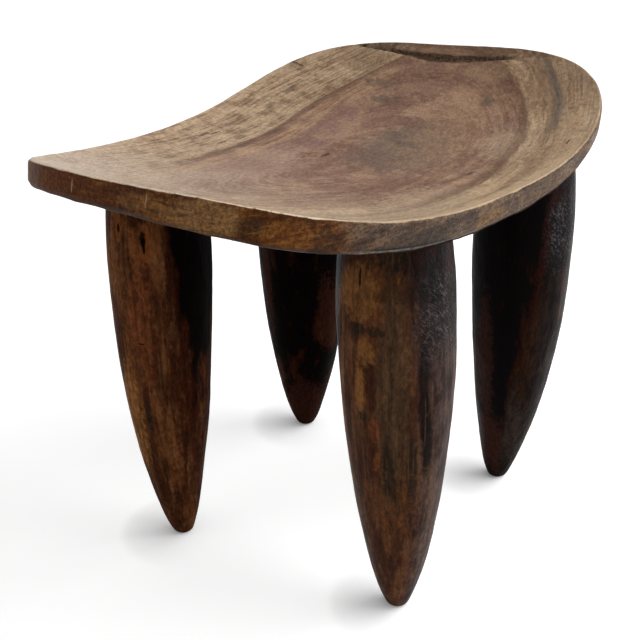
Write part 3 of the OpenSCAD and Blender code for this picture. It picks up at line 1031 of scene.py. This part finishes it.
def bare_leg_colour(paint, name, streaks, bands, patches):
    """Brown streaked wood with its marks, grey on the right face."""
    grey, _, tone = LEG_STAINS[name][3:]
    base = paint.mix(paint.span(bands, 0.42, 0.58), (84, 50, 27), (54, 28, 14))
    weathered = paint.mix(paint.span(patches, 0.40, 0.58), (31, 22, 21), (64, 50, 46))
    base = paint.mix(paint.times(paint.read("right"), grey), base, weathered)
    base = paint.stains(base, leg_marks(name, set(MARK_LOOKS) - OVER_SMOKE))
    base = paint.tinge(base, streaks, 0.51, 0.63, 0.42, (28, 15, 9))
    base = paint.tinge(base, streaks, 0.47, 0.35, 0.25, (108, 76, 50))
    base = paint.tinge(base, patches, 0.47, 0.36, 0.50, (30, 18, 11))
    base = paint.tinge(base, patches, 0.56, 0.66, 0.30, (108, 76, 48))
    return paint.mix(1.0, base, (tone, tone, tone, 1), "MULTIPLY")


def smoky_and_shaded_colour(paint, base, height, bands, patches):
    """The base under red-brown and black smoke, ragged along the wood's bands and patches, and painted
    shade darkening the leg's top under the seat.
    """
    smoke = paint.total(
        paint.read("smoke"),
        paint.math("MULTIPLY_ADD", bands, 1.6, -0.8),
        paint.math("MULTIPLY_ADD", patches, 1.6, -0.8),
        # painted shade: darker towards the leg's top, where it meets the seat
        paint.span(height, 0.90, 1.0, 0, 0.30),
    )
    base = paint.tinge(base, smoke, 0.12, 0.55, 0.75, (40, 13, 6))
    return paint.tinge(base, smoke, 0.42, 0.80, 0.96, (4, 3, 3))


def leg_material(name):
    grey, gloss, _ = LEG_STAINS[name][3:]
    paint = Paint(name + "_wood")
    height = paint.read("height")
    streaks = paint.grain((220, 220, 12), 4, 0.65, 0.3)
    bands = paint.grain((48, 48, 9), 4, 0.6, 0.3)
    patches = paint.grain((44, 44, 26), 5, 0.7, 0.3)
    speck = paint.grain((300, 300, 160), 4, 0.75)
    base = bare_leg_colour(paint, name, streaks, bands, patches)

    # the upper part of the grey face is blue-black and crinkled, with painted highlights on the crinkles
    crinkled = paint.times(paint.read("crinkled"), grey, paint.span(height, 0.70, 0.86))
    crinkles = paint.noise(paint.stretch(paint.places, (260, 420, 200), (0.8, 0, 0)), 1, 3, 0.75, 0.3)
    base = paint.mix(paint.times(crinkled, 0.88), base, (25, 22, 24))
    ridges = paint.span(crinkles, 0.48, 0.64, 0, 0.55)
    patchy = paint.span(patches, 0.40, 0.60, 0.25, 1.0)
    # painted highlights: pale glints on the crinkles
    glints = paint.times(crinkled, paint.span(height, 0.99, 0.93), ridges, patchy)
    base = paint.mix(glints, base, (112, 105, 106))

    base = smoky_and_shaded_colour(paint, base, height, bands, patches)
    base = paint.stains(base, leg_marks(name, OVER_SMOKE))
    base = paint.mix(1.0, base, paint.span(speck, 0.32, 0.68, 0.66, 1.34), "MULTIPLY")
    bumps = paint.total(
        paint.times(speck, 0.0004),
        paint.times(streaks, 0.0005),
        paint.times(paint.times(crinkles, crinkled), 0.0030),
    )
    for place, half_size, ragged, _, _ in leg_marks(name, {"check"}):
        check = paint.spot(place, half_size, ragged)
        bumps = paint.math("MULTIPLY_ADD", check, -CHECK_DEPTH, bumps)
    roughness = paint.span(streaks, 0.3, 0.7, 0.34, 0.52)
    return paint.finish(base, roughness, bumps, gloss)


def floor_material():
    """White ground that keeps the stool's shadow.

    It is seen a little brighter than its light, more so far away, and darker close beside the feet.
    """
    paint = Paint("studio_floor")
    diffuse = paint.node("BsdfDiffuse")
    diffuse.inputs["Color"].default_value = (0.85, 0.85, 0.85, 1)
    glow = paint.node("Emission")
    glow.inputs["Color"].default_value = (1, 1, 1, 1)
    distance = paint.node("VectorMath")
    distance.operation = "LENGTH"
    paint.link(distance.inputs[0], paint.places)
    strength = paint.span(distance.outputs["Value"], 0.9, 4.0, 0.53, 0.76)
    contact = paint.node("AmbientOcclusion")
    contact.inputs["Distance"].default_value = CONTACT_REACH
    open_side = paint.node("CombineXYZ")
    for socket, value in zip(open_side.inputs, CONTACT_OPEN_SIDE):
        socket.default_value = value
    paint.link(contact.inputs["Normal"], open_side.outputs[0])
    openness = paint.math("POWER", contact.outputs["AO"], 2.0)
    paint.link(glow.inputs["Strength"], paint.times(seen_rays(paint.tree), strength, openness))
    both = paint.node("AddShader")
    paint.link(both.inputs[0], diffuse.outputs[0])
    paint.link(both.inputs[1], glow.outputs[0])
    output = paint.node("OutputMaterial")
    paint.link(output.inputs[0], both.outputs[0])
    return paint.material


# Studio


def make_floor():
    mesh = bpy.data.meshes.new("floor")
    corners = [(x * FLOOR_HALF, y * FLOOR_HALF, 0) for x, y in ((-1, -1), (1, -1), (1, 1), (-1, 1))]
    mesh.from_pydata(corners, [], [(0, 1, 2, 3)])
    mesh.materials.append(floor_material())
    floor = new_object("floor", mesh)


def make_light(name, place, target, size, power):
    """A round soft light at a place, turned to a target."""
    light = bpy.data.lights.new(name, "AREA")
    light.shape = "DISK"
    light.size = size
    light.energy = power
    obj = new_object(name, light)
    obj.location = place
    x, y, z = np.array(target) - np.array(place)
    tilt = math.atan2(math.hypot(x, y), -z)
    obj.rotation_euler = (tilt, 0, math.atan2(y, x) - math.pi / 2)


def make_world():
    """White light from all round, which the picture shows brighter than it shines."""
    world = bpy.data.worlds.new("studio")
    bpy.context.scene.world = world
    world.use_nodes = True
    tree = world.node_tree
    background = tree.nodes["Background"]
    background.inputs["Color"].default_value = (1, 1, 1, 1)
    strength = tree.nodes.new("ShaderNodeMapRange")
    tree.links.new(seen_rays(tree), strength.inputs["Value"])
    strength.inputs["To Min"].default_value = 0.45
    strength.inputs["To Max"].default_value = 1.0
    tree.links.new(strength.outputs[0], background.inputs["Strength"])


def make_camera():
    """The main view, from one short end, slightly from the right and from above."""
    camera = bpy.data.cameras.new("camera")
    camera.sensor_width = 36
    camera.lens = 60.0
    obj = new_object("camera", camera)
    obj.location = CAMERA_PLACE
    pitch, yaw, roll = (math.radians(turn) for turn in CAMERA_TURN)
    view = Euler((math.pi / 2 - pitch, 0, yaw)).to_matrix() @ Euler((0, 0, roll)).to_matrix()
    obj.rotation_euler = view.to_euler()
    bpy.context.scene.camera = obj


bpy.context.scene.view_settings.view_transform = "Standard"
make_camera()
make_world()
make_floor()
make_light("key", (1.53, 0.98, 1.40), (0, 0, 0.3), 2.4, 50)
make_light("fill", (-1.3, -1.6, 1.2), (0, 0, 0.25), 1.6, 4)

make_seat(seat_material())
for leg_name in LEGS:
    make_leg(leg_name, leg_material(leg_name))
